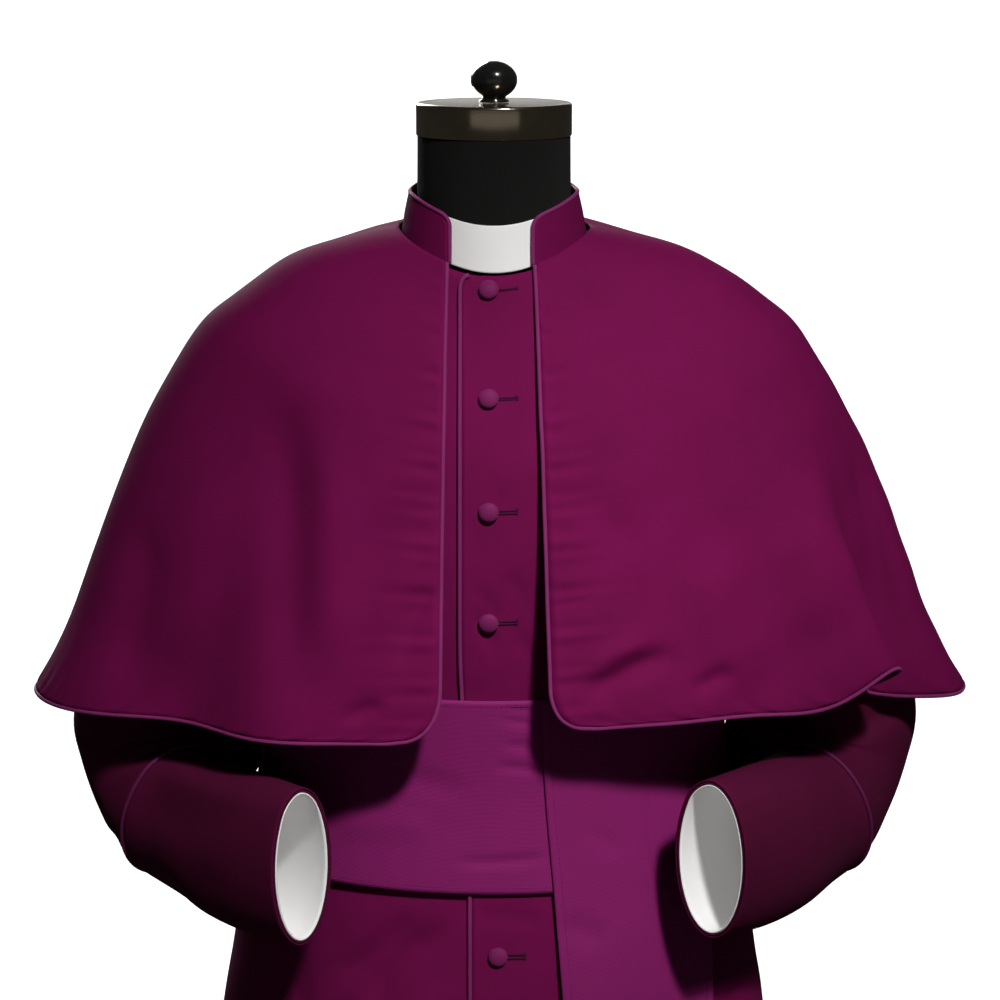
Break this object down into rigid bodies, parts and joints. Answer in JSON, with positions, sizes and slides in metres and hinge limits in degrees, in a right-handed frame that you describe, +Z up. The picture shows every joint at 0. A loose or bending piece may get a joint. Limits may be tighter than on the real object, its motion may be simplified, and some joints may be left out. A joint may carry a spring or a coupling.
{
  "type": "cassock on dress form",
  "caption": "Magenta clerical cassock with matching shoulder cape, waist band and white collar tab, worn by a black limbless dress form on a round steel stand.",
  "frame": {"origin": "centre of the stand's flat underside, on the floor", "axes": "+Z up, -Y out of the garment's front, +X to the wearer's left"},
  "size_m": [0.7466, 0.5308, 1.6315],
  "materials": {
    "magenta_cloth": "fine matt-satin wool blend, deep magenta",
    "band_cloth": "smoother, lighter violet-magenta faille",
    "piping_satin": "satin-covered cord, violet-magenta",
    "covered_button": "domed button covered in the band's cloth",
    "white_cloth": "plain white cotton lining and stiff collar tab",
    "keeper_ribbon": "bright pink narrow ribbon",
    "black_jersey": "black jersey cover over the padded form",
    "black_gloss": "glossy black knob",
    "bright_steel": "polished plated steel, slightly warm"
  },
  "bodies": {
    "root": {"band": "band_cloth", "band_fall": "band_cloth", "band_keeper": "keeper_ribbon", "button_01": "covered_button", "button_02": "covered_button", "button_03": "covered_button", "button_04": "covered_button", "button_05": "covered_button", "button_06": "covered_button", "button_07": "covered_button", "button_08": "covered_button", "button_09": "covered_button", "button_10": "covered_button", "button_11": "covered_button", "button_12": "covered_button", "button_13": "covered_button", "button_14": "covered_button", "cape_left": "magenta_cloth", "cape_piping_left": "piping_satin", "cape_piping_right": "piping_satin", "cape_right": "magenta_cloth", "cassock_back": "magenta_cloth", "cassock_front_left": "magenta_cloth", "cassock_front_right": "magenta_cloth", "collar": "magenta_cloth", "collar_piping": "piping_satin", "collar_tab": "white_cloth", "cuff_left": "magenta_cloth", "cuff_piping_left": "piping_satin", "cuff_piping_right": "piping_satin", "cuff_right": "magenta_cloth", "form_base": "bright_steel", "form_cap": "bright_steel", "form_knob": "black_gloss", "form_pole": "bright_steel", "form_torso": "black_jersey", "lining_left": "white_cloth", "lining_right": "white_cloth", "overlap_piping": "piping_satin", "sleeve_left": "magenta_cloth", "sleeve_right": "magenta_cloth"}
  },
  "joints": []
}
